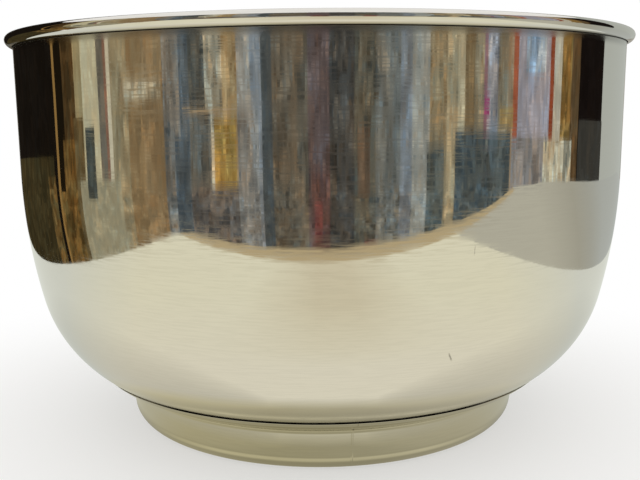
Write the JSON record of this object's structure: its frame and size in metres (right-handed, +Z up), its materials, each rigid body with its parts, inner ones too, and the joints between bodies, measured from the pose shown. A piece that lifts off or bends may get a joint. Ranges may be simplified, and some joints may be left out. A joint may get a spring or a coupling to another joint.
{
  "type": "stand mixer bowl",
  "caption": "Deep round stainless mixing bowl with a rolled rim, on a flanged foot ring that seats in a stand mixer's base.",
  "frame": {"origin": "centre of the foot's underside, on the surface that the bowl stands on", "axes": "+Z up along the bowl's axis; the bowl is round, so +X and +Y are free"},
  "size_m": [0.235, 0.235, 0.147],
  "materials": {
    "bowl_steel": "polished stainless steel with a fine grain running round the bowl",
    "foot_steel": "polished stainless steel, plain pressed strip"
  },
  "bodies": {
    "root": {"bowl": "bowl_steel", "foot_ring": "foot_steel"}
  },
  "joints": []
}
